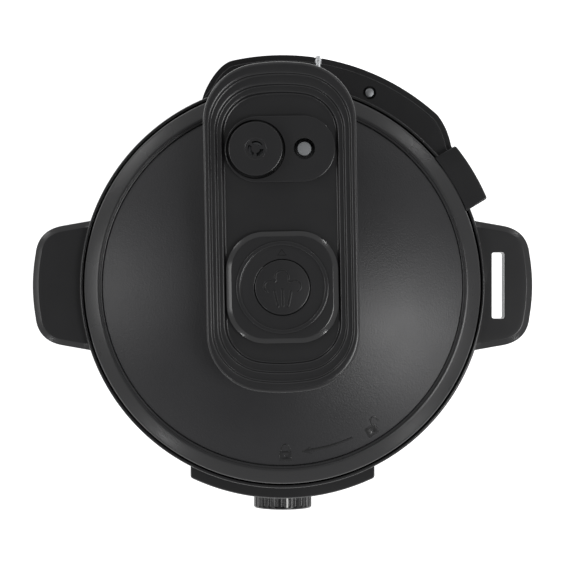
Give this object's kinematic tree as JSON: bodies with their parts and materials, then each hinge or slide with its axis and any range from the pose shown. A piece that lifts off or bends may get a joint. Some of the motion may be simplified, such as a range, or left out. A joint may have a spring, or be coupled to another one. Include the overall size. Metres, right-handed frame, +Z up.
{
  "type": "electric pressure cooker",
  "caption": "Round electric pressure cooker with a bayonet lid, press-button steam release, float valve, side handles, front dial, inner pot and rear condensation cup.",
  "frame": {"origin": "on the pot's axis, on the surface that the feet stand on", "axes": "+Z up along the pot's axis, +X towards the slotted handle, -Y towards the dial"},
  "size_m": [0.3322, 0.32, 0.3171],
  "materials": {
    "matte_black_plastic": "fine-textured moulded polypropylene, black",
    "satin_black_plastic": "satin moulded polypropylene, black",
    "gloss_black_plastic": "polished moulded ABS, black",
    "inner_plastic": "glass-filled nylon, dark grey",
    "stainless_steel": "brushed stainless steel sheet and turned steel",
    "spun_steel": "spun stainless steel, satin",
    "cast_aluminium": "cast and drawn aluminium",
    "silicone": "moulded translucent silicone",
    "rubber": "moulded black rubber",
    "smoked_panel": "smoked acrylic display window",
    "circuit_board": "green solder mask on glass-epoxy board"
  },
  "bodies": {
    "base": {"base_plate": "matte_black_plastic", "power_inlet": "inner_plastic", "foot_front_left": "rubber", "foot_front_right": "rubber", "foot_rear_left": "rubber", "foot_rear_right": "rubber", "chassis_post_1": "stainless_steel", "chassis_post_2": "stainless_steel", "chassis_post_3": "stainless_steel", "base_screw_1": "stainless_steel", "base_screw_2": "stainless_steel", "base_screw_3": "stainless_steel", "power_board": "circuit_board", "housing_shell": "stainless_steel", "top_ring": "matte_black_plastic", "inner_liner": "cast_aluminium", "lock_ring": "stainless_steel", "heating_plate": "cast_aluminium", "sensor_spring": "stainless_steel", "left_handle": "matte_black_plastic", "right_handle": "matte_black_plastic", "rear_collar": "matte_black_plastic", "rear_stop_pin": "stainless_steel", "pin_spring": "stainless_steel", "lid_switch": "inner_plastic", "front_fascia": "gloss_black_plastic", "display_window": "smoked_panel", "control_board": "circuit_board", "dial_encoder": "inner_plastic", "cup_bracket": "matte_black_plastic"},
    "pot": {"inner_pot": "spun_steel"},
    "seal": {"sealing_ring": "silicone"},
    "lid": {"lid_plate": "stainless_steel", "lid_screw_1": "stainless_steel", "lid_screw_2": "stainless_steel", "lid_screw_3": "stainless_steel", "seal_rack": "stainless_steel", "lid_cover": "matte_black_plastic", "lid_rim_ring": "satin_black_plastic", "lid_tab": "matte_black_plastic", "lid_island": "matte_black_plastic", "valve_panel": "gloss_black_plastic", "exhaust_pipe": "stainless_steel", "pipe_nut": "stainless_steel", "anti_block_shield": "stainless_steel", "release_bezel": "matte_black_plastic", "button_spring": "stainless_steel", "lever_pin": "stainless_steel"},
    "button": {"release_button": "matte_black_plastic"},
    "lever": {"release_lever": "inner_plastic"},
    "steam_valve": {"steam_valve_weight": "stainless_steel", "steam_valve_cap": "gloss_black_plastic"},
    "float": {"float_valve": "stainless_steel", "float_seal": "silicone"},
    "sensor": {"temperature_sensor": "spun_steel"},
    "plunger": {"lid_sensor_pin": "stainless_steel"},
    "dial": {"dial_knob": "matte_black_plastic"},
    "cup": {"condensation_cup": "satin_black_plastic"}
  },
  "joints": [
    {"name": "lid_lift", "type": "slide", "parent": "base", "child": "seal", "axis": [0, 0, 1], "range_m": [0, 0.4]},
    {"name": "lid_turn", "type": "hinge", "parent": "seal", "child": "lid", "pos_m": [0, 0, 0.27], "axis": [0, 0, 1], "range_deg": [0, 34.7]},
    {"name": "release_press", "type": "slide", "parent": "lid", "child": "button", "axis": [0, 0, -1], "range_m": [0, 0.0035], "stiffness_N_per_m": 400, "springref_m": -0.003, "deforming": ["button_spring"]},
    {"name": "lever_tilt", "type": "hinge", "parent": "lid", "child": "lever", "pos_m": [-0.00098, 0.05599, 0.2923], "axis": [0.9998, 0.0175, 0], "range_deg": [0, 4.6]},
    {"name": "steam_valve_lift", "type": "slide", "parent": "lid", "child": "steam_valve", "axis": [0, 0, 1], "range_m": [0, 0.0026]},
    {"name": "float_lift", "type": "slide", "parent": "lid", "child": "float", "axis": [0, 0, 1], "range_m": [0, 0.0035]},
    {"name": "pot_lift", "type": "slide", "parent": "base", "child": "pot", "axis": [0, 0, 1], "range_m": [0, 0.2]},
    {"name": "sensor_press", "type": "slide", "parent": "base", "child": "sensor", "axis": [0, 0, -1], "range_m": [0, 0.002], "stiffness_N_per_m": 500, "springref_m": -0.002, "deforming": ["sensor_spring"]},
    {"name": "plunger_press", "type": "slide", "parent": "base", "child": "plunger", "axis": [0, 0, -1], "range_m": [0, 0.003], "stiffness_N_per_m": 300, "springref_m": -0.002, "deforming": ["pin_spring"]},
    {"name": "dial_turn", "type": "hinge", "parent": "base", "child": "dial", "pos_m": [0, -0.15, 0.128], "axis": [0, -1, 0], "continuous": true},
    {"name": "cup_slide", "type": "slide", "parent": "base", "child": "cup", "axis": [0, 1, 0], "range_m": [0, 0.03]}
  ],
  "couplings": [
    {"joint": "lever_tilt", "follows": "release_press", "rad_per_m": 22.7},
    {"joint": "steam_valve_lift", "follows": "release_press", "ratio": 0.714},
    {"joint": "pot_lift", "follows": "lid_lift", "ratio": 0.5}
  ]
}
